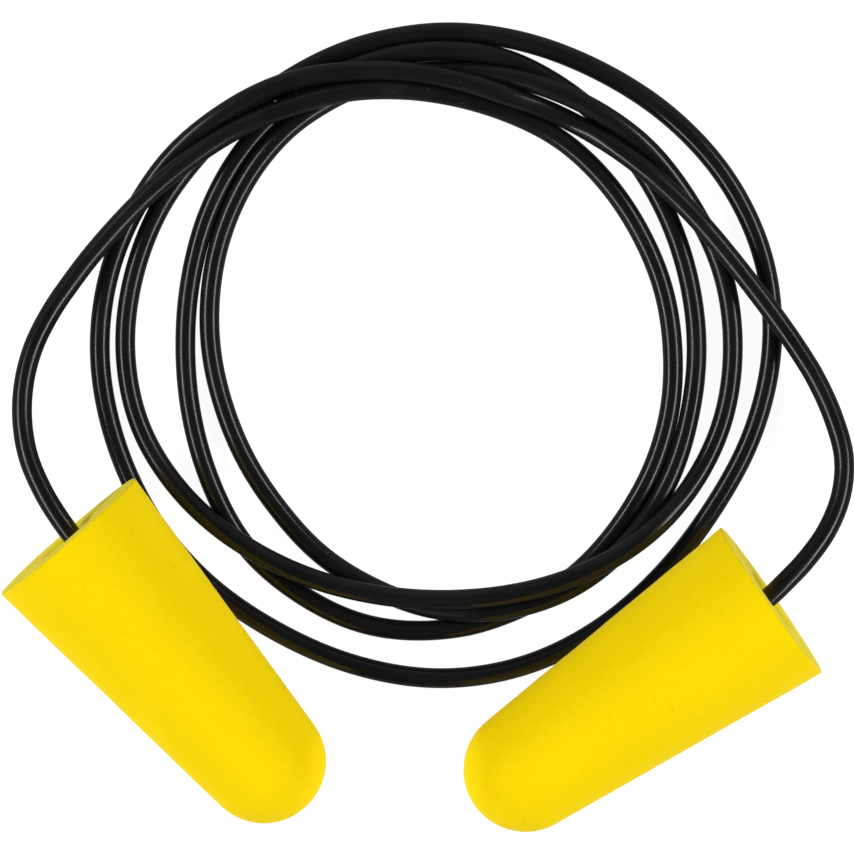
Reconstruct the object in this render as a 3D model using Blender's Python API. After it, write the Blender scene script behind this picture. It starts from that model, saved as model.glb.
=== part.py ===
"""Corded foam ear plugs: two tapered foam plugs joined by one long cord that lies in a loose ring.

Units are metres, +Z is up, and the plugs and the ring of cord lie on the plane z = 0.  The origin is
the middle of the floor under the box that the two plugs fill.
"""
import math

import bmesh
import bpy
from mathutils import Matrix, Vector, geometry

MM = 0.001

# Foam plug: a straight taper that ends in a round tip, turned about its own axis
PLUG_BASE_RADIUS = 6.5 * MM
PLUG_TIP_RADIUS = 4.6 * MM
PLUG_AXIS_LENGTH = 22.1 * MM        # from the flat base to the centre of the round tip
PLUG_EDGE_RADIUS = 0.15 * MM        # the small round on the base's rim
DIMPLE_RADIUS = 3.0 * MM            # shallow dish that the cord leaves through
DIMPLE_DEPTH = 0.55 * MM

# Cord and the blind hole it is glued into
CORD_RADIUS = 0.75 * MM
ADHESIVE_WALL = 0.28 * MM
ADHESIVE_FLOOR = 0.5 * MM
FIT_GAP = 0.05 * MM                 # clearance between the cord, the adhesive and the foam
HOLE_DEPTH = 10.0 * MM              # below the floor of the dimple
STRAIGHT_EXIT = 1.2 * MM            # the cord runs straight this far out of the base

# Loose ring of cord: the space that its turns lie in
RING_CENTRE = Vector((2.0 * MM, 22.7 * MM, 0.0))
RING_INNER_RADIUS = 15.9 * MM
RING_OUTER_RADIUS = 25.4 * MM
RING_HEIGHT = 4.1 * MM
RING_TOP_INNER_INSET = 1.7 * MM     # the top is a flat band, this far in from the inner wall
RING_TOP_OUTER_INSET = 3.0 * MM     # and this far in from the outer wall

# Where each plug lies, seen from above: the way its tip points, how far its round side hangs over
# the ring's low rim, and how far its base lies behind the spot that is nearest the ring's centre
LEFT_HEADING = math.radians(-49.2)
LEFT_OVERHANG = 2.184 * MM
LEFT_SETBACK = 7.354 * MM
RIGHT_HEADING = math.radians(-145.1)
RIGHT_OVERHANG = 2.669 * MM
RIGHT_SETBACK = 9.480 * MM

# Free stretches of the cord, from just outside the plug's base to the ring's outer wall
LEFT_TAIL_ROUTE = (
    (-26.9, 12.1, 6.4), (-28.2, 14.6, 6.0), (-28.7, 17.3, 5.3), (-28.5, 20.0, 4.6),
    (-27.9, 22.7, 3.9), (-26.8, 25.2, 3.3), (-25.3, 27.6, 2.8), (-23.5, 30.0, 2.45),
)
RIGHT_TAIL_ROUTE = (
    (29.1, 7.0, 6.2), (30.8, 9.2, 5.7), (31.8, 11.8, 5.0), (32.0, 14.6, 4.2),
    (31.3, 17.5, 3.4), (30.1, 20.3, 2.8), (28.5, 23.0, 2.4),
)

# Smoothness of the turned and swept shapes
PLUG_STEPS = 48
RING_STEPS = 72
TIP_STEPS = 9
SMALL_ARC_STEPS = 3
NOSE_STEPS = 6
CORD_POINT_SPACING = 3.0 * MM

# Colour, roughness and metallic value of each material
FOAM_COLOUR = (0.93, 0.70, 0.01)
CORD_COLOUR = (0.012, 0.012, 0.014)
ADHESIVE_COLOUR = (0.75, 0.72, 0.60)


def remove_everything():
    """Clear the scene's own objects, so that the file holds the ear plugs only."""
    for old in list(bpy.data.objects):
        bpy.data.objects.remove(old, do_unlink=True)


def plain_material(name, colour, roughness):
    """A Principled material with one colour and roughness, and no metal."""
    material = bpy.data.materials.new(name)
    material.use_nodes = True
    shader = material.node_tree.nodes["Principled BSDF"]
    shader.inputs["Base Color"].default_value = (*colour, 1.0)
    shader.inputs["Roughness"].default_value = roughness
    shader.inputs["Metallic"].default_value = 0.0
    material.diffuse_color = (*colour, 1.0)
    return material


def taper_angle():
    """Angle between the plug's side and its axis, so that the side runs smoothly into the tip."""
    reach = math.hypot(PLUG_BASE_RADIUS, PLUG_AXIS_LENGTH)
    return math.acos(PLUG_TIP_RADIUS / reach) - math.atan2(PLUG_AXIS_LENGTH, PLUG_BASE_RADIUS)


def arc(centre_r, centre_h, radius, start, end, steps):
    """Points of a round stretch in a turned profile, as (radius, height) pairs; angles from +radius."""
    points = []
    for i in range(steps + 1):
        angle = start + (end - start) * i / steps
        points.append((centre_r + radius * math.cos(angle), centre_h + radius * math.sin(angle)))
    return points


def hole_radius():
    """The blind hole takes the cord, the adhesive round it and a gap on each side of the adhesive."""
    return CORD_RADIUS + FIT_GAP + ADHESIVE_WALL + FIT_GAP


def hole_floor():
    """Height of the blind hole's floor above the plug's base."""
    return DIMPLE_DEPTH + HOLE_DEPTH


def cord_end():
    """Height of the cord's cut end above the plug's base."""
    return hole_floor() - FIT_GAP - ADHESIVE_FLOOR - FIT_GAP


def plug_profile():
    """Half section of a plug, from the hole's floor, over the dimple and the side, to the tip."""
    angle = taper_angle()
    points = [(0.0, hole_floor()), (hole_radius(), hole_floor())]

    # The dish is a shallow bowl: half a cosine wave from the hole's mouth to its rim
    span = DIMPLE_RADIUS - hole_radius()
    dish_steps = 2 * SMALL_ARC_STEPS
    for i in range(dish_steps + 1):
        share = i / dish_steps
        depth = DIMPLE_DEPTH * 0.5 * (1.0 + math.cos(math.pi * share))
        points.append((hole_radius() + span * share, depth))

    # The base's rim turns from flat to the line of the side
    rim_r = PLUG_BASE_RADIUS - PLUG_EDGE_RADIUS * (1.0 + math.sin(angle)) / math.cos(angle)
    points += arc(rim_r, PLUG_EDGE_RADIUS, PLUG_EDGE_RADIUS, -math.pi / 2, angle, SMALL_ARC_STEPS)

    # The side runs straight to where it meets the round tip, which ends on the axis
    tip = arc(0.0, PLUG_AXIS_LENGTH, PLUG_TIP_RADIUS, angle, math.pi / 2, TIP_STEPS)
    points += tip[:-1]
    points.append((0.0, PLUG_AXIS_LENGTH + PLUG_TIP_RADIUS))
    return points


def adhesive_profile():
    """Half section of the adhesive: a cup round the cord's end, level with the dimple's floor."""
    inner = CORD_RADIUS + FIT_GAP
    outer = inner + ADHESIVE_WALL
    mouth = DIMPLE_DEPTH + FIT_GAP
    top = hole_floor() - FIT_GAP
    return [(0.0, top - ADHESIVE_FLOOR), (inner, top - ADHESIVE_FLOOR), (inner, mouth),
            (outer, mouth), (outer, top), (0.0, top)]


def ring_profile():
    """Closed section of the ring: one cord high with round noses at its rims, higher between them."""
    nose = CORD_RADIUS
    outer = arc(RING_OUTER_RADIUS - nose, nose, nose, -math.pi / 2, math.pi / 2, NOSE_STEPS)
    inner = arc(RING_INNER_RADIUS + nose, nose, nose, math.pi / 2, 3 * math.pi / 2, NOSE_STEPS)
    top = [(RING_OUTER_RADIUS - RING_TOP_OUTER_INSET, RING_HEIGHT),
           (RING_INNER_RADIUS + RING_TOP_INNER_INSET, RING_HEIGHT)]
    return outer + top + inner


def turned_mesh(name, profile, steps, closed):
    """A solid of revolution about local +Z. An open profile starts and ends on the axis."""
    work = bmesh.new()
    verts = [work.verts.new((r, 0.0, h)) for r, h in profile]
    pairs = list(zip(verts, verts[1:]))
    if closed:
        pairs.append((verts[-1], verts[0]))
    edges = [work.edges.new(pair) for pair in pairs]
    bmesh.ops.spin(work, geom=verts + edges, cent=(0, 0, 0), axis=(0, 0, 1),
                   angle=math.tau, steps=steps, use_merge=True)
    bmesh.ops.remove_doubles(work, verts=work.verts, dist=1e-6)
    bmesh.ops.recalc_face_normals(work, faces=work.faces)
    mesh = bpy.data.meshes.new(name)
    work.to_mesh(mesh)
    work.free()
    mesh.shade_smooth()
    mesh.set_sharp_from_angle(angle=math.radians(35))
    return mesh


def add_object(name, data, material, parent=None, place=Matrix()):
    """Link one named part; its place is in the world's frame, also when it hangs on an empty."""
    part = bpy.data.objects.new(name, data)
    bpy.context.scene.collection.objects.link(part)
    data.materials.append(material)
    if parent is not None:
        part.parent = parent
        place = Matrix.Translation(-parent.location) @ place
    part.matrix_basis = place
    return part


def swing_axis(name, point):
    """An empty on the upright line that a plug and its stretch of cord swing about."""
    empty = bpy.data.objects.new(name, None)
    bpy.context.scene.collection.objects.link(empty)
    empty.location = (point.x, point.y, 0.0)
    return empty


def plug_place(heading, ring_on, overhang, setback):
    """Place of a plug on its side beside the ring, which is on its left (1) or its right (-1).

    Its lowest line lies on the floor, so the base stands higher than the tip.
    """
    angle = taper_angle()
    along = Vector((math.cos(heading), math.sin(heading), 0.0))
    from_ring = along.cross(Vector((0.0, 0.0, 1.0))) * ring_on
    distance = RING_OUTER_RADIUS + PLUG_BASE_RADIUS - overhang
    base = RING_CENTRE + from_ring * distance - along * setback
    base.z = PLUG_BASE_RADIUS * math.cos(angle)
    turn = Matrix.Rotation(heading, 4, "Z") @ Matrix.Rotation(math.pi / 2 + angle, 4, "Y")
    return Matrix.Translation(base) @ turn


def smooth_points(knots, first_way, spacing):
    """Points at an even spacing along a smooth curve through the knots."""
    fine = []
    last = len(knots) - 1
    for i in range(last):
        start, end = knots[i], knots[i + 1]
        before = knots[i - 1] if i else end - first_way * 2 * (end - start).length
        after = knots[i + 2] if i + 2 <= last else end + (end - start)
        handle_1 = start + (end - before) / 6
        handle_2 = end - (after - start) / 6
        stretch = geometry.interpolate_bezier(start, handle_1, handle_2, end, 24)
        fine += stretch if i == last - 1 else stretch[:-1]
    length = sum((b - a).length for a, b in zip(fine, fine[1:]))
    count = max(2, round(length / spacing))
    points = [fine[0]]
    run = 0.0
    for a, b in zip(fine, fine[1:]):
        step = (b - a).length
        while len(points) < count and run + step >= length * len(points) / count:
            share = (length * len(points) / count - run) / step
            points.append(a.lerp(b, share))
        run += step
    points.append(fine[-1])
    return points


def cord_curve(name, points):
    """A plain round cord along the points, with closed ends."""
    curve = bpy.data.curves.new(name, "CURVE")
    curve.dimensions = "3D"
    curve.bevel_depth = CORD_RADIUS
    curve.bevel_resolution = 2
    curve.use_fill_caps = True
    spline = curve.splines.new("POLY")
    spline.points.add(len(points) - 1)
    for slot, point in zip(spline.points, points):
        slot.co = (*point, 1.0)
    return curve


def tail_points(place, route):
    """The cord from its glued end, straight out of the plug, then along its route to the ring."""
    outwards = (place.to_3x3() @ Vector((0.0, 0.0, -1.0))).normalized()
    inside = place @ Vector((0.0, 0.0, cord_end()))
    mouth = place @ Vector((0.0, 0.0, 0.0))
    clear = mouth + outwards * STRAIGHT_EXIT
    knots = [clear] + [Vector(point) * MM for point in route]
    return [inside, mouth] + smooth_points(knots, outwards, CORD_POINT_SPACING)


def make_side(side, place, route, plug_mesh, adhesive_mesh, foam, cord, adhesive):
    """One plug, its adhesive and its stretch of cord, all on the same swing axis."""
    pivot = swing_axis(f"{side}_swing_axis", Vector(route[-1]) * MM)
    add_object(f"foam_plug_{side}", plug_mesh.copy(), foam, pivot, place)
    add_object(f"cord_adhesive_{side}", adhesive_mesh.copy(), adhesive, pivot, place)
    curve = cord_curve(f"cord_tail_{side}", tail_points(place, route))
    add_object(f"cord_tail_{side}", curve, cord, pivot, Matrix())


def main():
    remove_everything()
    foam = plain_material("foam", FOAM_COLOUR, 0.9)
    cord = plain_material("cord", CORD_COLOUR, 0.3)
    adhesive = plain_material("adhesive", ADHESIVE_COLOUR, 0.4)

    ring_mesh = turned_mesh("cord_coil", ring_profile(), RING_STEPS, closed=True)
    add_object("cord_coil", ring_mesh, cord, place=Matrix.Translation(RING_CENTRE))

    plug_mesh = turned_mesh("foam_plug", plug_profile(), PLUG_STEPS, closed=False)
    adhesive_mesh = turned_mesh("cord_adhesive", adhesive_profile(), PLUG_STEPS // 2, closed=False)
    left_place = plug_place(LEFT_HEADING, 1, LEFT_OVERHANG, LEFT_SETBACK)
    right_place = plug_place(RIGHT_HEADING, -1, RIGHT_OVERHANG, RIGHT_SETBACK)
    make_side("left", left_place, LEFT_TAIL_ROUTE, plug_mesh, adhesive_mesh, foam, cord, adhesive)
    make_side("right", right_place, RIGHT_TAIL_ROUTE, plug_mesh, adhesive_mesh, foam, cord, adhesive)
    bpy.data.meshes.remove(plug_mesh)
    bpy.data.meshes.remove(adhesive_mesh)


main()
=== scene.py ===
# %% [markdown]
# # Corded foam ear plugs
#
# Two soft foam plugs hang on the two ends of one long thin cord.  The cord lies on the table in a
# loose ring of four and a half turns, and each plug lies on its side below the ring.
#
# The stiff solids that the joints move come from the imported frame.  This lesson dresses them: it lays
# the real cord turn by turn, turns the foam plugs, sets the glue in their holes, and lights them.

import math

import bmesh
import bpy
import numpy as np
from mathutils import Matrix, Vector


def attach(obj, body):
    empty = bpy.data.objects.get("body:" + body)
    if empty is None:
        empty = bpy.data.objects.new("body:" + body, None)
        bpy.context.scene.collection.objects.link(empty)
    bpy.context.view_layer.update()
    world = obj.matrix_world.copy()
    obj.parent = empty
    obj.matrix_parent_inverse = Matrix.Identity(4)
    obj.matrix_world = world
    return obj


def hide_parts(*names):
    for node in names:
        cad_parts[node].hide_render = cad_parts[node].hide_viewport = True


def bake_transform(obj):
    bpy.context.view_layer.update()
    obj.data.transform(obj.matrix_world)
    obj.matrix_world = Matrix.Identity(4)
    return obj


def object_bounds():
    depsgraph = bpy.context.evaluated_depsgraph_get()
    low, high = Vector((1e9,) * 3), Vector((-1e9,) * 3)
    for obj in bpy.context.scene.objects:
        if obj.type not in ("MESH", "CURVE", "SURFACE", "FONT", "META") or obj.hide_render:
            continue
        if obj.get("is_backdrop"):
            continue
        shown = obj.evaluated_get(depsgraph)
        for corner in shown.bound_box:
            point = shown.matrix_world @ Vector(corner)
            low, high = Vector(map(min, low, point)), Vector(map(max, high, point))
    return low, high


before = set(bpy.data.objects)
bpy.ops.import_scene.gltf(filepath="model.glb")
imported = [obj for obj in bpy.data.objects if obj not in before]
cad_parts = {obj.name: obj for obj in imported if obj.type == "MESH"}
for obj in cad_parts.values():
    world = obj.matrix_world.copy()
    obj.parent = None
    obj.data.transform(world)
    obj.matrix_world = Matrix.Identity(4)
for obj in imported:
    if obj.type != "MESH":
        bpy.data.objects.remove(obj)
frame_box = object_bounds()
print("solids:", sorted(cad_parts))

# %% [markdown]
# ## Sizes
#
# A maker of ear plugs works in millimetres.  The scene's unit is the metre, so every size here is
# multiplied by MM once, at the place where it is written.
#
# A plug is a straight taper that runs without a corner into a round tip.  Its slope isn't a size of
# its own: it follows from the base's radius, the tip's radius and the distance between the two.

# %% Sizes of the plugs, the cord and the ring
MM = 0.001

BASE_RADIUS = 6.5 * MM
TIP_RADIUS = 4.6 * MM
AXIS_LENGTH = 22.1 * MM
CORD_RADIUS = 0.75 * MM
DIMPLE_RADIUS = 3.0 * MM
DIMPLE_DEPTH = 0.55 * MM
HOLE_RADIUS = 1.11 * MM
HOLE_DEPTH = 10.0 * MM
GLUE_UNDER_CORD = 0.6 * MM

HOLE_FLOOR = DIMPLE_DEPTH + HOLE_DEPTH
CORD_END = HOLE_FLOOR - GLUE_UNDER_CORD

reach = math.hypot(BASE_RADIUS, AXIS_LENGTH)
TAPER = math.acos(TIP_RADIUS / reach) - math.atan2(AXIS_LENGTH, BASE_RADIUS)
print("taper of the plug's side:", round(math.degrees(TAPER), 2), "degrees")
print("depth of the cord's end in the plug:", round(1000 * CORD_END, 2), "mm")

# %% [markdown]
# ## Where each plug lies
#
# A tapered plug that lies on its side touches the table along one straight line, so its axis slopes
# up towards the wide base by the taper's angle.  A matrix holds that place: it turns the plug's own
# upright axis down onto the table and moves the middle of its base to where it belongs.

# %% Place the two plugs
PLUG_LIE = {
    "left": ((-25.3, 8.85), -49.2),
    "right": ((26.5, 4.15), -145.1),
}


def plug_place(side):
    """The matrix that carries a plug from its own frame, tip up, to its place on the table."""
    (x, y), heading = PLUG_LIE[side]
    turn = Matrix.Rotation(math.radians(heading), 4, "Z") @ Matrix.Rotation(math.pi / 2 + TAPER, 4, "Y")
    base = Vector((x * MM, y * MM, BASE_RADIUS * math.cos(TAPER)))
    return Matrix.Translation(base) @ turn


PLACES = {side: plug_place(side) for side in PLUG_LIE}
for side, place in PLACES.items():
    print(side, "plug's base at", [round(1000 * x, 2) for x in place.translation], "mm")

# %% [markdown]
# ## The cord's route
#
# The real cord is one piece, about 0.66 m long.  It leaves the left plug, goes clockwise round the
# ring four and a half times and goes back into the right plug.  It could be a spiral made by a
# formula, but a cord that was dropped in a loose ring wanders: its turns cross, bunch at the bottom
# and spread at the sides.  So each turn is written as 24 distances from the ring's centre, one for
# every 15 degrees, and the heights say where it rides over the turns below it.
#
# Each free end climbs from the ring to the middle of its plug's base.  The angles are counted
# clockwise from the left side of the ring, on through all the turns, and a strand that lies on the
# table is a cord's radius above it.  Every number in the route is in millimetres.

# %% The turns: their distance from the ring's centre, and where they are raised off the table
RING_CENTRE = (2.0, 22.7)
KNOT_ANGLE = 15
TURNS = (
    (30.2, 26.8, 24.2, 22.45, 21.0, 20.03, 19.05, 18.45, 18.15, 17.7, 17.4, 17.4,
     17.5, 17.9, 18.4, 19.0, 19.8, 20.4, 21.0, 21.3, 21.0, 20.6, 19.7, 19.1),
    (18.9, 19.2, 19.9, 20.75, 21.6, 22.0, 22.25, 22.05, 21.35, 20.45, 19.8, 19.4,
     19.3, 19.4, 19.8, 20.2, 20.4, 20.1, 19.5, 18.5, 17.7, 16.9, 16.6, 16.6),
    (17.0, 17.6, 18.45, 19.36, 20.12, 20.55, 20.85, 20.95, 21.2, 21.55, 21.7, 22.0,
     22.0, 21.9, 21.4, 20.6, 19.7, 19.0, 18.7, 18.9, 19.6, 20.6, 21.9, 23.0),
    (23.4, 23.4, 23.3, 23.0, 22.9, 23.3, 23.65, 23.8, 24.0, 24.5, 25.0, 25.2,
     24.9, 24.3, 23.7, 23.7, 24.1, 24.5, 24.6, 24.4, 24.3, 24.6, 24.9, 25.1),
    (25.3, 25.2, 24.75, 23.9, 22.88, 21.4, 20.3, 19.62, 19.64, 20.15, 21.2, 23.1),
)
LOW = CORD_RADIUS / MM
RAISED = {
    30: 2.25, 45: 2.25, 60: 2.15, 75: 2.15, 90: 1.25,
    420: 1.1, 435: 1.4, 450: 1.5, 465: 1.3,
    570: 0.95, 585: 1.6, 600: 2.1, 615: 2.15, 630: 1.3,
    765: 1.05, 780: 1.1, 825: 1.6, 840: 2.15, 855: 1.85,
    930: 1.4, 945: 3.0, 960: 3.35, 975: 3.1, 990: 2.5, 1005: 2.2, 1020: 1.9, 1035: 2.2, 1050: 1.2,
    1470: 0.85, 1485: 1.9, 1500: 2.2, 1515: 2.2, 1530: 2.2, 1545: 2.0, 1560: 1.1,
    1575: 2.15, 1590: 2.15, 1605: 2.2,
}
radii = [radius for turn in TURNS for radius in turn]
print("turns in the ring:", round(len(radii) * KNOT_ANGLE / 360, 2), "- raised knots:", len(RAISED))

# %% The free ends, each from the ring to its plug
LEFT_FREE = (
    (-23.5, 30.0, 2.45), (-25.3, 27.6, 2.8), (-26.86, 25.2, 3.3), (-28.03, 22.7, 3.9),
    (-28.66, 20.0, 4.6), (-28.72, 17.3, 5.3), (-28.2, 14.6, 6.0), (-27.1, 12.1, 6.4),
    (-26.2, 10.6, 6.53),
)
RIGHT_FREE = (
    (28.5, 23.0, 2.4), (30.1, 20.3, 2.8), (31.3, 17.5, 3.4), (32.0, 14.6, 4.2),
    (31.72, 11.8, 5.0), (30.62, 9.2, 5.6), (28.98, 7.0, 6.25), (27.5, 5.47, 6.5),
)
print("knots in the free ends:", len(LEFT_FREE), "and", len(RIGHT_FREE))

# %% [markdown]
# ## The cord's two glued ends
#
# The hole is a little wider than the cord, and the free end pulls the cord to one side of it.  So the
# cord doesn't come out along the hole's axis: it leans over, most at the mouth and not at all at its
# glued end.  A square of the distance from the end gives that lean, because it starts without a kink.

# %% Put the route's knots in order, from the left plug's glue to the right plug's
LEAN = {"left": 0.27 * MM, "right": -0.27 * MM}
KNOT_DEPTHS = (CORD_END, 0.65 * CORD_END, 0.3 * CORD_END, 0.0)


def lean(side, depth):
    """How far the cord stands off the hole's axis at that depth."""
    return LEAN[side] * max(0.0, 1.0 - depth / CORD_END) ** 2


def plug_end(side):
    """The glued end, two places in the hole, and the mouth of the hole, in millimetres."""
    return [1000 * (PLACES[side] @ Vector((0, lean(side, depth), depth))) for depth in KNOT_DEPTHS]


def ring_knots(first_angle=30):
    """The knots of the ring; before the first angle the cord is still the left free end."""
    knots = []
    for i, radius in enumerate(radii):
        angle = KNOT_ANGLE * i
        if angle >= first_angle:
            x = RING_CENTRE[0] - radius * math.cos(math.radians(angle))
            y = RING_CENTRE[1] + radius * math.sin(math.radians(angle))
            knots.append((x, y, RAISED.get(angle, LOW)))
    return knots


knots = [tuple(p) for p in plug_end("left")] + list(reversed(LEFT_FREE)) + ring_knots()
knots += list(RIGHT_FREE) + [tuple(p) for p in reversed(plug_end("right"))]
print("knots in the cord's route:", len(knots))

# %% [markdown]
# ## Smoothing the route
#
# A cord can't have corners, so the knots are joined by a smooth curve.  Blender's own curves would
# do, but the points are needed as numbers for the next step.  A centripetal Catmull-Rom spline is
# chosen because it goes through every knot and doesn't overshoot between knots that are unevenly
# spaced.  After that the points are spread evenly, half a millimetre apart.

# %% Helpers: a smooth curve, and even spacing along it
CORD_STEP = 0.5 * MM


def smooth_line(points, per_knot=24):
    """A centripetal Catmull-Rom curve through the points."""
    p = np.array(points, float)
    p = np.vstack([2 * p[0] - p[1], p, 2 * p[-1] - p[-2]])
    out = []
    for i in range(1, len(p) - 2):
        p0, p1, p2, p3 = p[i - 1:i + 3]
        t = np.cumsum([0] + [max(1e-9, np.linalg.norm(b - a)) ** 0.5
                             for a, b in ((p0, p1), (p1, p2), (p2, p3))])
        u = np.linspace(t[1], t[2], per_knot, endpoint=False)[:, None]
        a1 = (t[1] - u) / (t[1] - t[0]) * p0 + (u - t[0]) / (t[1] - t[0]) * p1
        a2 = (t[2] - u) / (t[2] - t[1]) * p1 + (u - t[1]) / (t[2] - t[1]) * p2
        a3 = (t[3] - u) / (t[3] - t[2]) * p2 + (u - t[2]) / (t[3] - t[2]) * p3
        b1 = (t[2] - u) / (t[2] - t[0]) * a1 + (u - t[0]) / (t[2] - t[0]) * a2
        b2 = (t[3] - u) / (t[3] - t[1]) * a2 + (u - t[1]) / (t[3] - t[1]) * a3
        out.append((t[2] - u) / (t[2] - t[1]) * b1 + (u - t[1]) / (t[2] - t[1]) * b2)
    return np.vstack(out + [p[-2][None]])


def evenly(points, step):
    """The same line with its points one step apart."""
    along = np.concatenate([[0], np.cumsum(np.linalg.norm(np.diff(points, axis=0), axis=1))])
    at = np.linspace(0, along[-1], round(along[-1] / step) + 1)
    return np.stack([np.interp(at, along, points[:, k]) for k in range(3)], axis=1)


route = evenly(smooth_line(knots) * MM, CORD_STEP)
print("length of the cord:", round(float(len(route) - 1) * CORD_STEP, 4), "m")

# %% [markdown]
# ## Laying the turns on each other
#
# Where two turns lie together, the listed knots leave them a little inside each other.
# A full rope simulation would cure that, but it would also let the ring spring open.  A short
# settling step is enough: strands that are nearer than a diameter push each other apart, the curve
# is eased after each push and drawn a little back to its own course, and nothing may sink into the
# table.  A push counts for more upwards than sideways, because a limp cord that is dropped on
# another one rides over it and hardly shoves it aside.

# %% Helper: which places of the cord lie close together
CLEAR = 1.004 * 2 * CORD_RADIUS
SAME_STRAND = int(3.0 * CLEAR / CORD_STEP)


def distances(line):
    """The distance between every two points, and whether they are on different strands."""
    index = np.arange(len(line))
    away = np.linalg.norm(line[:, None] - line[None], axis=2)
    return away, np.abs(index[:, None] - index[None]) > SAME_STRAND


def deepest(line):
    """How far two strands of the cord lie inside each other, in metres."""
    away, other_strand = distances(line)
    return 2 * CORD_RADIUS - float(away[other_strand].min())


# %% Let the turns settle beside and over each other
ROUNDS = 240
NEW_PAIRS_EVERY = 10
PUSH_SHARE = 0.25
PUSH_BY_AXIS = np.array([0.3, 0.3, 1.6])
LEVEL = 0.2 * CLEAR
HOME_SHARE = 0.02
EASE_SHARE = 0.15
HELD_POINTS = 60


def pushes(p, a, b):
    """How far each point is pushed by the strands that it lies in; b is later on the cord than a."""
    gap = p[b] - p[a]
    far = np.linalg.norm(gap, axis=1)
    short = np.clip(CLEAR - far, 0, None)
    gap[:, 2] += LEVEL * (np.abs(gap[:, 2]) < LEVEL)
    push = gap / np.maximum(far, 1e-9)[:, None] * (PUSH_SHARE * short)[:, None] * PUSH_BY_AXIS
    move, hits = np.zeros_like(p), np.zeros(len(p))
    for end, way in ((a, -1), (b, 1)):
        np.add.at(move, end, way * push)
        np.add.at(hits, end, short > 0)
    move /= np.maximum(1, 0.5 * hits)[:, None]
    for _ in range(3):
        move[1:-1] = 0.5 * move[1:-1] + 0.25 * (move[:-2] + move[2:])
    return move


def settled(line):
    """Lays strands that lie in each other a diameter apart, and keeps them on the table."""
    p = line.copy()
    for number in range(ROUNDS):
        if number % NEW_PAIRS_EVERY == 0:
            away, other_strand = distances(p)
            a, b = np.argwhere(np.triu((away < 1.6 * CLEAR) & other_strand)).T
        p += pushes(p, a, b)
        p += HOME_SHARE * (line - p)
        p[:, 2] = np.maximum(p[:, 2], CORD_RADIUS)
        p[1:-1] += EASE_SHARE * (0.5 * (p[:-2] + p[2:]) - p[1:-1])
        p[:HELD_POINTS], p[-HELD_POINTS:] = line[:HELD_POINTS], line[-HELD_POINTS:]
    return p


print("deepest overlap before:", round(1000 * deepest(route), 3), "mm")
route = settled(route)
print("deepest overlap after:", round(1000 * deepest(route), 3), "mm")

# %% [markdown]
# ## Skin of the cord
#
# The cord is soft plastic that was squeezed through a round die, so its section is a circle and its
# skin has faint lines along its length.  A curve with a round bevel would do for the shape, but each
# free end also has to bend when its plug swings, and only a mesh can bend.  So the skin is built ring
# by ring along the route.  It is cut in three where the free ends leave the ring of turns: one piece
# lies with the ring, and one is each free end.  Both sides of a cut use the same ring of points,
# so the cuts can't be seen.

# %% Helpers: rings of points round a line, and a closed tube from them
CORD_SIDES = 20


def line_frames(line):
    """Sideways and upward directions at every point of a line that never stands upright."""
    along = np.gradient(line, axis=0)
    along /= np.linalg.norm(along, axis=1)[:, None]
    side = np.cross(along, (0, 0, 1))
    side /= np.linalg.norm(side, axis=1)[:, None]
    return side, np.cross(side, along)


def tube(name, line, side, up, first_mark, material):
    """A closed round tube; its UV map runs once round it, and along it in metres."""
    turn = np.arange(CORD_SIDES) * math.tau / CORD_SIDES
    ring = np.cos(turn)[None, :, None] * side[:, None] + np.sin(turn)[None, :, None] * up[:, None]
    points = (line[:, None] + CORD_RADIUS * ring).reshape(-1, 3)
    rings = len(line)
    faces = []
    marks = []
    for i in range(rings - 1):
        for j in range(CORD_SIDES):
            k = (j + 1) % CORD_SIDES
            faces.append((i * CORD_SIDES + j, (i + 1) * CORD_SIDES + j,
                          (i + 1) * CORD_SIDES + k, i * CORD_SIDES + k))
            here, there = (first_mark + i) * CORD_STEP, (first_mark + i + 1) * CORD_STEP
            marks += [(j / CORD_SIDES, here), (j / CORD_SIDES, there),
                      ((j + 1) / CORD_SIDES, there), ((j + 1) / CORD_SIDES, here)]
    faces.append(tuple(range(CORD_SIDES)))
    faces.append(tuple(reversed(range((rings - 1) * CORD_SIDES, rings * CORD_SIDES))))
    marks += [(0.5, first_mark * CORD_STEP)] * (2 * CORD_SIDES)
    mesh = bpy.data.meshes.new(name)
    mesh.from_pydata(points.tolist(), [], faces)
    layer = mesh.uv_layers.new(name="Along the cord")
    layer.data.foreach_set("uv", np.array(marks, np.float32).ravel())
    mesh.shade_smooth()
    mesh.set_sharp_from_angle(angle=math.radians(60))
    mesh.materials.append(material)
    piece = bpy.data.objects.new(name, mesh)
    bpy.context.scene.collection.objects.link(piece)
    return piece


def volume_of(piece):
    """The volume inside a closed mesh, positive when its faces point outwards, in cubic metres."""
    work = bmesh.new()
    work.from_mesh(piece.data)
    value = work.calc_volume(signed=True)
    work.free()
    return value


# %% [markdown]
# ## The cord's finish
#
# Black soft plastic is nearly as dark as black gets, and smooth enough to mirror a lamp as a thin
# grey line.  What makes it look real is how little it varies: faint lines from the die, a skin that
# is slightly duller in some places, and a few specks of dust that its static charge has caught.
#
# The lines follow the cord, so they are read from its UV map.  The rest has no direction and is read
# from Object coordinates, which are metres here: a noise of scale 240 repeats about every 4 mm.

# %% Helpers: a material's node tree, kept short


def new_material(name):
    """A material with one Principled shader; returns it with its nodes and its linking function."""
    material = bpy.data.materials.new(name)
    material.use_nodes = True
    tree = material.node_tree
    return material, tree.nodes, tree.links.new, tree.nodes["Principled BSDF"]


def add(nodes, kind, **settings):
    """A node of that kind with its properties set."""
    node = nodes.new(kind)
    for key, value in settings.items():
        setattr(node, key, value)
    return node


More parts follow.
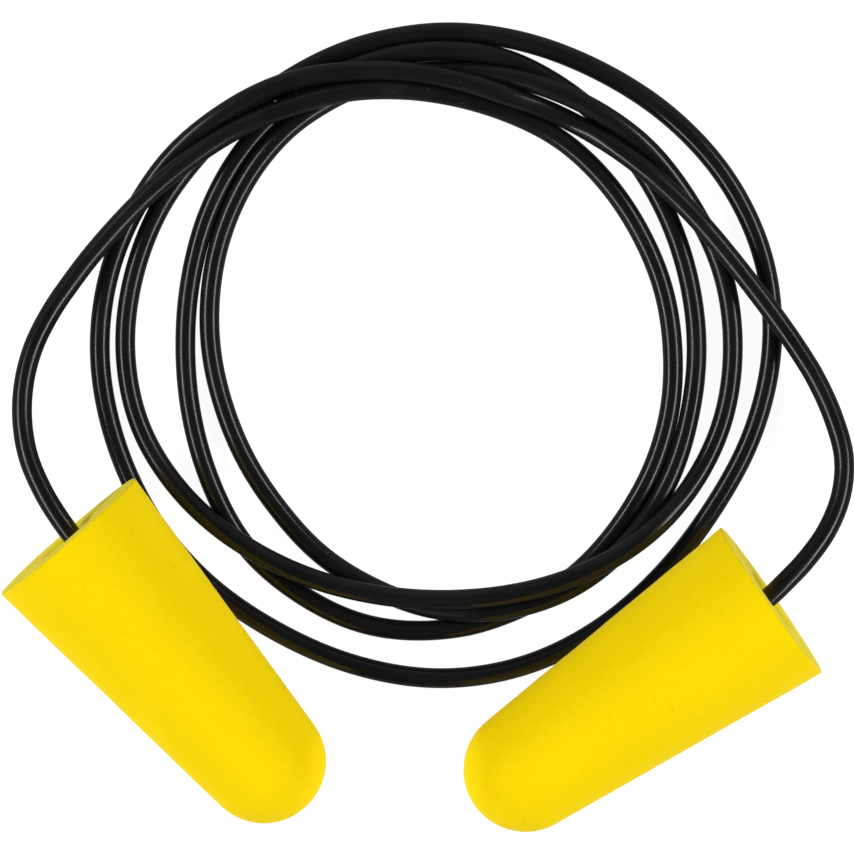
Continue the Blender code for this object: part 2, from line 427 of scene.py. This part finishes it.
def noise(nodes, join, place, scale, detail=2.0, roughness=0.5):
    """A noise texture on the given coordinates; scale is in repeats for each metre."""
    node = add(nodes, "ShaderNodeTexNoise")
    node.inputs["Scale"].default_value = scale
    node.inputs["Detail"].default_value = detail
    node.inputs["Roughness"].default_value = roughness
    join(place, node.inputs["Vector"])
    return node.outputs["Fac"]


def spread_to(nodes, join, value, low, high, to_low, to_high):
    """Maps a value's range to another range, held at its ends."""
    node = add(nodes, "ShaderNodeMapRange")
    for socket, number in zip(("From Min", "From Max", "To Min", "To Max"), (low, high, to_low, to_high)):
        node.inputs[socket].default_value = number
    join(value, node.inputs["Value"])
    return node.outputs["Result"]


def blend_colours(nodes, join, share, first, second):
    """A mix of two colours; each is a colour or another node's output."""
    node = add(nodes, "ShaderNodeMix", data_type="RGBA")
    join(share, node.inputs["Factor"])
    for socket, colour in ((node.inputs[6], first), (node.inputs[7], second)):
        if isinstance(colour, tuple):
            socket.default_value = (*colour, 1.0)
        else:
            join(colour, socket)
    return node.outputs[2]


def bump(nodes, join, height, distance, strength=1.0, under=None):
    """A bump of that height in metres, on top of another bump when one is given."""
    node = add(nodes, "ShaderNodeBump")
    node.inputs["Strength"].default_value = strength
    node.inputs["Distance"].default_value = distance
    join(height, node.inputs["Height"])
    if under is not None:
        join(under, node.inputs["Normal"])
    return node.outputs["Normal"]


# %% Black plastic of the cord


def cord_finish():
    """Nearly black, half glossy, with drawn lines along the cord and a little dust."""
    material, nodes, join, shader = new_material("black soft plastic")
    place = add(nodes, "ShaderNodeTexCoord").outputs["Object"]
    uv = add(nodes, "ShaderNodeUVMap", uv_map="Along the cord").outputs["UV"]
    stretch = add(nodes, "ShaderNodeMapping")
    stretch.inputs["Scale"].default_value = (26.0, 60.0, 1.0)
    join(uv, stretch.inputs["Vector"])
    lines = noise(nodes, join, stretch.outputs["Vector"], 1.0, 3.0, 0.6)
    cloudy = noise(nodes, join, place, 240.0, 3.0)
    skin = noise(nodes, join, place, 5200.0, 2.0)
    dust = noise(nodes, join, place, 2600.0, 1.0, 0.3)
    specks = spread_to(nodes, join, dust, 0.76, 0.80, 0.0, 1.0)
    body = blend_colours(nodes, join, cloudy, (0.0048, 0.0048, 0.0055), (0.0088, 0.0086, 0.0094))
    colour = blend_colours(nodes, join, specks, body, (0.022, 0.021, 0.021))
    join(colour, shader.inputs["Base Color"])
    dull = spread_to(nodes, join, cloudy, 0.3, 0.7, 0.17, 0.25)
    streaked = add(nodes, "ShaderNodeMath", operation="MULTIPLY_ADD")
    join(lines, streaked.inputs[0])
    streaked.inputs[1].default_value = 0.05
    join(dull, streaked.inputs[2])
    join(streaked.outputs[0], shader.inputs["Roughness"])
    shader.inputs["IOR"].default_value = 1.4
    drawn = bump(nodes, join, lines, 0.0000015)
    join(bump(nodes, join, skin, 0.0000004, under=drawn), shader.inputs["Normal"])
    return material


cord_black = cord_finish()
print("finish:", cord_black.name)

# %% Cut the cord in three and wrap it


def nearest_mark(place):
    """The number of the route's point that is nearest to a place given in millimetres."""
    return int(np.linalg.norm(route - np.array(place) * MM, axis=1).argmin())


left_cut, right_cut = nearest_mark(LEFT_FREE[0]), nearest_mark(RIGHT_FREE[0])
cord_side, cord_up = line_frames(route)
STRETCHES = {
    "cord_left_end": (0, left_cut),
    "cord_turns": (left_cut, right_cut),
    "cord_right_end": (right_cut, len(route) - 1),
}
cord_pieces = {}
for name, (start, stop) in STRETCHES.items():
    part = slice(start, stop + 1)
    cord_pieces[name] = tube(name, route[part], cord_side[part], cord_up[part], start, cord_black)
    print(name, round(1000 * (stop - start) * CORD_STEP, 1), "mm long,",
          round(1e9 * volume_of(cord_pieces[name]), 1), "mm3")

# %% [markdown]
# ## Turning a plug
#
# Foam plugs are cut or moulded to one profile that is the same all round, so their shape follows a
# rule: a half section, turned about the axis.  A lathe in Geometry Nodes does this with live sizes.
# It sweeps the half section round a small circle, welds the points that meet on the axis, and then
# pushes every point a little along its normal by a smooth noise, because foam is never quite true.
# The same lathe also turns the glue, with its own section and its own finish.
#
# Curve to Mesh carries the half section along the circle.  The section is first shifted inwards by
# the circle's radius, so that its own axis lands exactly on the circle's middle.

# %% First half of the lathe: turn the half section and weld it on the axis
LATHE_RADIUS = 1.0 * MM


def turn_section(nodes, join, sizes):
    """Sweeps the half section round the axis and welds the points that meet there."""
    circle = nodes.new("GeometryNodeCurvePrimitiveCircle")
    circle.inputs["Radius"].default_value = LATHE_RADIUS
    join(sizes["Steps Round"], circle.inputs["Resolution"])
    shift = nodes.new("GeometryNodeSetPosition")
    shift.inputs["Offset"].default_value = (-LATHE_RADIUS, 0.0, 0.0)
    join(sizes["Half Section"], shift.inputs["Geometry"])
    sweep = nodes.new("GeometryNodeCurveToMesh")
    join(circle.outputs["Curve"], sweep.inputs["Curve"])
    join(shift.outputs["Geometry"], sweep.inputs["Profile Curve"])
    weld = nodes.new("GeometryNodeMergeByDistance")
    weld.inputs["Distance"].default_value = 0.002 * MM
    join(sweep.outputs["Mesh"], weld.inputs["Geometry"])
    return weld.outputs["Geometry"]


# %% Second half of the lathe: make the turned surface a little uneven


def make_uneven(nodes, join, sizes, shape):
    """Moves every point along its normal by a noise of the given wave length and height."""
    per_wave = add(nodes, "ShaderNodeMath", operation="DIVIDE")
    per_wave.inputs[0].default_value = 1.0
    join(sizes["Wave Length"], per_wave.inputs[1])
    waves = add(nodes, "ShaderNodeTexNoise", noise_dimensions="4D")
    waves.inputs["Detail"].default_value = 2.0
    join(sizes["Seed"], waves.inputs["W"])
    join(per_wave.outputs[0], waves.inputs["Scale"])
    centred = add(nodes, "ShaderNodeMath", operation="SUBTRACT")
    centred.inputs[1].default_value = 0.5
    join(waves.outputs["Fac"], centred.inputs[0])
    height = add(nodes, "ShaderNodeMath", operation="MULTIPLY")
    join(centred.outputs[0], height.inputs[0])
    join(sizes["Wave Height"], height.inputs[1])
    outward = add(nodes, "ShaderNodeVectorMath", operation="SCALE")
    join(nodes.new("GeometryNodeInputNormal").outputs["Normal"], outward.inputs[0])
    join(height.outputs[0], outward.inputs["Scale"])
    uneven = nodes.new("GeometryNodeSetPosition")
    join(shape, uneven.inputs["Geometry"])
    join(outward.outputs["Vector"], uneven.inputs["Offset"])
    return uneven.outputs["Geometry"]


# %% Put the lathe together
LATHE_SOCKETS = (
    ("Half Section", "INPUT", "Geometry"), ("Steps Round", "INPUT", "Int"),
    ("Wave Length", "INPUT", "Float"), ("Wave Height", "INPUT", "Float"), ("Seed", "INPUT", "Float"),
    ("Finish", "INPUT", "Material"), ("Turned Piece", "OUTPUT", "Geometry"),
)


def lathe_tree():
    """The node group of the lathe, with its sizes as named inputs."""
    tree = bpy.data.node_groups.new("Lathe for soft pieces", "GeometryNodeTree")
    for name, way, kind in LATHE_SOCKETS:
        tree.interface.new_socket(name, in_out=way, socket_type="NodeSocket" + kind)
    nodes, join = tree.nodes, tree.links.new
    sizes = nodes.new("NodeGroupInput").outputs
    smooth = nodes.new("GeometryNodeSetShadeSmooth")
    shape = make_uneven(nodes, join, sizes, turn_section(nodes, join, sizes))
    join(shape, smooth.inputs["Geometry"])
    real = nodes.new("GeometryNodeRealizeInstances")
    join(smooth.outputs["Geometry"], real.inputs["Geometry"])
    finish = nodes.new("GeometryNodeSetMaterial")
    join(real.outputs["Geometry"], finish.inputs["Geometry"])
    join(sizes["Finish"], finish.inputs["Material"])
    join(finish.outputs["Geometry"], nodes.new("NodeGroupOutput").inputs["Turned Piece"])
    return tree


LATHE = lathe_tree()
print("lathe inputs:", [s.name for s in LATHE.interface.items_tree if s.in_out == "INPUT"])


# %% Helper: run the lathe and keep its result as a plain mesh


def lathe_mesh(name, section, settings):
    """Turns (radius, height) pairs about the upright axis, with the lathe's inputs set by name."""
    curve = bpy.data.curves.new(name + "_section", "CURVE")
    curve.dimensions = "3D"
    spline = curve.splines.new("POLY")
    spline.points.add(len(section) - 1)
    for point, (r, h) in zip(spline.points, section):
        point.co = (r, -h, 0.0, 1.0)
    maker = bpy.data.objects.new(name + "_section", curve)
    bpy.context.scene.collection.objects.link(maker)
    modifier = maker.modifiers.new("lathe", "NODES")
    modifier.node_group = LATHE
    for item in LATHE.interface.items_tree:
        if item.in_out == "INPUT" and item.name in settings:
            modifier[item.identifier] = settings[item.name]
    bpy.context.view_layer.update()
    graph = bpy.context.evaluated_depsgraph_get()
    mesh = bpy.data.meshes.new_from_object(maker.evaluated_get(graph), depsgraph=graph)
    mesh.name = name
    bpy.data.objects.remove(maker)
    bpy.data.curves.remove(curve)
    return mesh


# %% Helper: carry a turned mesh to its place, on the table and with its faces outwards


def turned(name, section, place, settings, crease=None):
    """Returns a closed piece; edges sharper than the crease angle stay sharp."""
    mesh = lathe_mesh(name, section, settings)
    mesh.transform(place)
    work = bmesh.new()
    work.from_mesh(mesh)
    bmesh.ops.recalc_face_normals(work, faces=work.faces)
    if work.calc_volume(signed=True) < 0:
        bmesh.ops.reverse_faces(work, faces=work.faces)
    for vert in work.verts:
        vert.co.z = max(vert.co.z, 0.0)
    work.to_mesh(mesh)
    open_edges = sum(not e.is_manifold for e in work.edges)
    work.free()
    if crease is not None:
        mesh.set_sharp_from_angle(angle=crease)
    piece = bpy.data.objects.new(name, mesh)
    bpy.context.scene.collection.objects.link(piece)
    print(name, len(mesh.polygons), "faces,", round(1e9 * volume_of(piece)), "mm3,",
          open_edges, "open edges")
    return piece


# %% [markdown]
# ## The foam's finish
#
# The foam is a slow-recovery polyurethane with very small cells, dyed right through.  Its skin is
# smooth and matt, and only close up can its grain be seen: cells a tenth of a millimetre across, a
# few larger pores, and here and there a speck of darker dye.  The base is cut and has no skin, so its
# open cells give it a greener tone; it is also painted darker, as painted shade on a face turned away
# from the lamps.
#
# Foam spreads light inside itself.  At this grain a plain diffuse colour looks the same, so the
# shader has no light below its surface, and a low IOR and a weak sheen keep it from looking hard.

# %% Yellow foam


def foam_finish():
    """Matt yellow with fine cells and pits, and where the foam is cut a greener tone with painted shade.
    """
    material, nodes, join, shader = new_material("yellow foam")
    place = add(nodes, "ShaderNodeTexCoord").outputs["Object"]
    cloudy = noise(nodes, join, place, 160.0, 3.0)
    mottle = noise(nodes, join, place, 1500.0, 3.0, 0.6)
    cells = add(nodes, "ShaderNodeTexVoronoi", feature="F1")
    cells.inputs["Scale"].default_value = 7500.0
    join(place, cells.inputs["Vector"])
    pores = noise(nodes, join, place, 3400.0, 1.0, 0.4)
    pits = spread_to(nodes, join, pores, 0.22, 0.30, 1.0, 0.0)
    speck_noise = noise(nodes, join, place, 1700.0, 0.0, 0.0)
    specks = spread_to(nodes, join, speck_noise, 0.83, 0.88, 0.0, 0.6)
    base = blend_colours(nodes, join, cloudy, (0.90, 0.655, 0.0), (0.945, 0.70, 0.0))
    soft = spread_to(nodes, join, mottle, 0.3, 0.7, 0.0, 0.3)
    body = blend_colours(nodes, join, soft, base, (0.88, 0.63, 0.0))
    pitted = blend_colours(nodes, join, pits, body, (0.865, 0.61, 0.0))
    skin = blend_colours(nodes, join, specks, pitted, (0.78, 0.50, 0.0))
    cut = add(nodes, "ShaderNodeAttribute", attribute_name="cut face").outputs["Fac"]
    # The cut face: a greener tone of its open cells, painted darker as painted shade for a face turned
    # away from the lamps.
    cut_tone_and_painted_shade = blend_colours(nodes, join, mottle, (0.66, 0.52, 0.004), (0.86, 0.70, 0.02))
    join(blend_colours(nodes, join, cut, skin, cut_tone_and_painted_shade), shader.inputs["Base Color"])
    join(spread_to(nodes, join, mottle, 0.2, 0.8, 0.62, 0.85), shader.inputs["Roughness"])
    shader.inputs["IOR"].default_value = 1.12
    shader.inputs["Sheen Weight"].default_value = 0.06
    shader.inputs["Sheen Roughness"].default_value = 0.25
    shader.inputs["Sheen Tint"].default_value = (1.0, 0.98, 0.9, 1.0)
    grain = bump(nodes, join, cells.outputs["Distance"], 0.00001, 0.5)
    rolling = bump(nodes, join, mottle, 0.00003, 0.5, under=grain)
    join(bump(nodes, join, pits, 0.000012, 0.6, under=rolling), shader.inputs["Normal"])
    return material


foam_yellow = foam_finish()
print("finish:", foam_yellow.name)

# %% Helpers: round and straight stretches of a half section


def arc(centre, radius, start, end, steps):
    """Points on a round stretch of a half section."""
    angles = np.linspace(start, end, steps + 1)
    return [(centre[0] + radius * math.cos(a), centre[1] + radius * math.sin(a)) for a in angles]


def straight(start, end, steps):
    """Points on a straight stretch, without its last one."""
    return [tuple(np.array(start) + (np.array(end) - np.array(start)) * i / steps) for i in range(steps)]


# %% [markdown]
# ## The plug's shape
#
# The half section starts at the bottom of the punched hole.  It goes up the hole's wall, over the
# soft slope of the dimple, across the flat base, round its small edge, down the long taper and round
# the tip.  The slope of the dimple is half a wave of a cosine, which is level at both ends.  The
# taper's side and the tip meet where the tip's own slope is the same, so no line shows there.

# %% The plug's half section
BASE_EDGE = 0.1 * MM
DIMPLE_STEPS = 24


def plug_section():
    """From the bottom of the hole, over the dimple, the rim and the side, to the tip."""
    points = straight((0.0, HOLE_FLOOR), (HOLE_RADIUS, HOLE_FLOOR), 4)
    points += straight((HOLE_RADIUS, HOLE_FLOOR), (HOLE_RADIUS, DIMPLE_DEPTH), 30)
    for i in range(DIMPLE_STEPS):
        share = i / DIMPLE_STEPS
        depth = DIMPLE_DEPTH * 0.5 * (1.0 + math.cos(math.pi * share))
        points.append((HOLE_RADIUS + (DIMPLE_RADIUS - HOLE_RADIUS) * share, depth))
    rim = BASE_RADIUS - BASE_EDGE * (1.0 + math.sin(TAPER)) / math.cos(TAPER)
    points += straight((DIMPLE_RADIUS, 0.0), (rim, 0.0), 26)
    points += arc((rim, BASE_EDGE), BASE_EDGE, -math.pi / 2, TAPER, 8)
    tip = arc((0.0, AXIS_LENGTH), TIP_RADIUS, TAPER, math.pi / 2, 56)
    points += straight(points[-1], tip[0], 130)[1:]
    return points + tip[:-1] + [(0.0, AXIS_LENGTH + TIP_RADIUS)]


section = plug_section()
print("points in the half section:", len(section))

# %% Turn both plugs, and mark where their foam is cut
CUT_ENDS, CUT_FADE = 0.1 * MM, 0.08 * MM


def mark_cut_face(piece, side):
    """Marks the cut base and its hole with 1 and the skin with 0, for the finish to read."""
    back = PLACES[side].inverted()
    shares = []
    for vert in piece.data.vertices:
        at = back @ vert.co
        inside = math.hypot(at.x, at.y) < 1.01 * DIMPLE_RADIUS and at.z < 1.01 * HOLE_FLOOR
        shares.append(1.0 if inside else min(1.0, max(0.0, (CUT_ENDS - at.z) / CUT_FADE)))
    marks = piece.data.attributes.new("cut face", "FLOAT", "POINT")
    marks.data.foreach_set("value", shares)


plugs = {}
for number, side in enumerate(PLACES):
    settings = {"Steps Round": 240, "Wave Length": 4.0 * MM, "Wave Height": 0.09 * MM,
                "Seed": 3.0 + 7.0 * number, "Finish": foam_yellow}
    plugs[side] = turned("foam_plug_" + side + "_skin", section, PLACES[side], settings)
    mark_cut_face(plugs[side], side)

# %% [markdown]
# ## The glue
#
# Each end of the cord is dipped in amber glue and pushed down the punched hole.  The glue fills the
# gap round the cord and the space under its end, and where it wells up at the mouth it sets as a low
# shiny ring.  It is turned on the same lathe from a closed half section, a cup.  The cup's outer wall
# stays on the foam, and its inner wall is moved over with the cord, which leans in the hole.

# %% Amber glue


def glue_finish():
    """Glossy amber, cloudy, with small pale bubbles."""
    material, nodes, join, shader = new_material("amber glue")
    place = add(nodes, "ShaderNodeTexCoord").outputs["Object"]
    cloudy = noise(nodes, join, place, 900.0, 3.0)
    beads = noise(nodes, join, place, 4200.0, 1.0, 0.3)
    bubbles = spread_to(nodes, join, beads, 0.66, 0.72, 0.0, 1.0)
    body = blend_colours(nodes, join, cloudy, (0.52, 0.33, 0.03), (0.66, 0.47, 0.06))
    join(blend_colours(nodes, join, bubbles, body, (0.85, 0.75, 0.35)), shader.inputs["Base Color"])
    join(spread_to(nodes, join, cloudy, 0.3, 0.7, 0.12, 0.3), shader.inputs["Roughness"])
    shader.inputs["IOR"].default_value = 1.47
    join(bump(nodes, join, cloudy, 0.00003), shader.inputs["Normal"])
    return material


glue_amber = glue_finish()
print("finish:", glue_amber.name)

# %% The glue's half section
GLUE_INNER, GLUE_OUTER = CORD_RADIUS + 0.02 * MM, HOLE_RADIUS - 0.03 * MM
GLUE_WELL = 0.16 * MM
WELL_STEPS = 8


def glue_section():
    """A cup round the cord's end, with a low ring where it wells up at the mouth."""
    top, under, mouth = HOLE_FLOOR - 0.05 * MM, CORD_END + 0.04 * MM, DIMPLE_DEPTH - 0.06 * MM
    crest = GLUE_INNER + 0.04 * MM
    points = straight((0.0, under), (GLUE_INNER, under), 4)
    points += straight((GLUE_INNER, under), (GLUE_INNER, mouth - GLUE_WELL), 24)
    for i in range(WELL_STEPS + 1):
        share = i / WELL_STEPS
        rise = GLUE_WELL * (1.0 - math.sin(share * math.pi / 2))
        points.append((crest + (GLUE_OUTER - crest) * share, mouth - rise))
    points += straight((GLUE_OUTER, mouth + 0.05 * MM), (GLUE_OUTER, top), 24)
    points += straight((GLUE_OUTER, top), (0.0, top), 4)
    return points + [(0.0, top)]


print("points in the half section:", len(glue_section()))

# %% A cup of glue in each plug


def lean_inner_wall(piece, side):
    """Moves the glue's inner wall with the cord, and leaves its outer wall on the foam."""
    place = PLACES[side]
    back = place.inverted()
    for vert in piece.data.vertices:
        at = back @ vert.co
        share = (GLUE_OUTER - math.hypot(at.x, at.y)) / (GLUE_OUTER - GLUE_INNER)
        at.y += lean(side, at.z) * min(1.0, max(0.0, share))
        vert.co = place @ at


glue = {}
for number, side in enumerate(PLACES):
    settings = {"Steps Round": 48, "Wave Length": 1.5 * MM, "Wave Height": 0.02 * MM,
                "Seed": 40.0 + number, "Finish": glue_amber}
    glue[side] = turned("glue_" + side, glue_section(), PLACES[side], settings, math.radians(50))
    lean_inner_wall(glue[side], side)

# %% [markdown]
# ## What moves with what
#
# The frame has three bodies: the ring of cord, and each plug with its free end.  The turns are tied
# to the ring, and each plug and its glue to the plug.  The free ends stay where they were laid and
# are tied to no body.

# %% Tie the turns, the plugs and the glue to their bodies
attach(cord_pieces["cord_turns"], "cord_ring")
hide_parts("cord_coil")
for side, free in (("left", LEFT_FREE), ("right", RIGHT_FREE)):
    end = cord_pieces["cord_" + side + "_end"]
    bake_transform(end)
    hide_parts("cord_tail_" + side)
    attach(plugs[side], side + "_plug")
    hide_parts("foam_plug_" + side)
    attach(glue[side], side + "_plug")
    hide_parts("cord_adhesive_" + side)

# %% [markdown]
# ## Table, lights and camera
#
# The plugs lie on a pale table that glows softly, as a light table does, so that hardly a shadow is
# left.  The table is left out of reflections, because black plastic that mirrors a glowing table
# turns grey all over.
#
# Two long soft boxes hang to the left and the right.  They light the foam from both sides, and each
# one draws a thin grey line along the turns of the cord.  The room itself is dim.  It is brighter on
# the far side and in a low band round the table, and that gives the black turns a soft rim, so that
# they can be told apart where they cross.  The camera hangs straight above and looks down.

# %% The table


def table_finish():
    """Matt and pale grey, with a glow that hides most of the shadows."""
    material, nodes, join, shader = new_material("pale table")
    place = add(nodes, "ShaderNodeTexCoord").outputs["Object"]
    cloudy = noise(nodes, join, place, 14.0, 2.0)
    join(blend_colours(nodes, join, cloudy, (0.16, 0.16, 0.16), (0.19, 0.19, 0.19)),
         shader.inputs["Base Color"])
    shader.inputs["Roughness"].default_value = 0.9
    shader.inputs["Emission Color"].default_value = (1.0, 1.0, 1.0, 1.0)
    shader.inputs["Emission Strength"].default_value = 0.95
    return material


TABLE_SIZE = 1.6
work = bmesh.new()
bmesh.ops.create_grid(work, x_segments=8, y_segments=8, size=TABLE_SIZE / 2)
table_mesh = bpy.data.meshes.new("table")
work.to_mesh(table_mesh)
work.free()
table_mesh.materials.append(table_finish())
table = bpy.data.objects.new("table", table_mesh)
bpy.context.scene.collection.objects.link(table)
table.location = (0.0, 0.0, -0.00002)
table.visible_glossy = False
table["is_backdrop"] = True
print("table", TABLE_SIZE, "m wide")

# %% The lights


def soft_box(name, place, aim, size, power):
    """A light with a long level side and a short one, in metres, turned towards a point."""
    light = bpy.data.lights.new(name, "AREA")
    light.shape = "RECTANGLE"
    light.size, light.size_y = size
    light.energy = power
    lamp = bpy.data.objects.new(name, light)
    bpy.context.scene.collection.objects.link(lamp)
    lamp.location = place
    lamp.rotation_euler = (Vector(aim) - Vector(place)).to_track_quat("-Z", "Y").to_euler()


def studio_world():
    """A dim room, a little brighter on the far side, with a pale band low round the table."""
    world = bpy.data.worlds.new("studio")
    world.use_nodes = True
    nodes, join = world.node_tree.nodes, world.node_tree.links.new
    way = add(nodes, "ShaderNodeSeparateXYZ")
    join(add(nodes, "ShaderNodeTexCoord").outputs["Generated"], way.inputs[0])
    far_side = spread_to(nodes, join, way.outputs["Y"], 0.5, 0.85, 0.03, 0.25)
    low_band = spread_to(nodes, join, way.outputs["Z"], 0.04, -0.02, 0.0, 0.22)
    strength = add(nodes, "ShaderNodeMath", operation="MAXIMUM")
    join(far_side, strength.inputs[0])
    join(low_band, strength.inputs[1])
    join(strength.outputs[0], nodes["Background"].inputs["Strength"])
    nodes["Background"].inputs["Color"].default_value = (1.0, 1.0, 1.0, 1.0)
    return world


SOFT_BOX_SIZE = (1.1, 0.10)
SOFT_BOX_POWER = 5.05
for name, x in (("left soft box", -0.52), ("right soft box", 0.52)):
    soft_box(name, (x, -0.12, 0.42), (0.0, -0.12, 0.0), SOFT_BOX_SIZE, SOFT_BOX_POWER)
bpy.context.scene.world = studio_world()
bpy.context.scene.view_settings.view_transform = "Standard"

# %% The camera
CAMERA_PLACE = (1.15 * MM, 16.88 * MM, 440.0 * MM)
VIEW_WIDTH = 63.8 * MM
SENSOR = 36.0

camera_data = bpy.data.cameras.new("camera")
camera_data.sensor_width = SENSOR
camera_data.lens = SENSOR * CAMERA_PLACE[2] / VIEW_WIDTH
camera_data.clip_start, camera_data.clip_end = 0.01, 10.0
camera = bpy.data.objects.new("camera", camera_data)
bpy.context.scene.collection.objects.link(camera)
camera.location = CAMERA_PLACE
bpy.context.scene.camera = camera
print("lens:", round(camera_data.lens, 1), "mm")

# %% [markdown]
# ## The size of the dressed model
#
# The dressed model has to fill the same box as the imported frame, so both boxes are written down and
# can be compared.

# %% Write both boxes, and finish
bpy.context.view_layer.update()
model_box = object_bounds()
for label, box in (("frame", frame_box), ("model", model_box)):
    print(label, "box in mm:", [[round(1000 * x, 2) for x in c] for c in box])
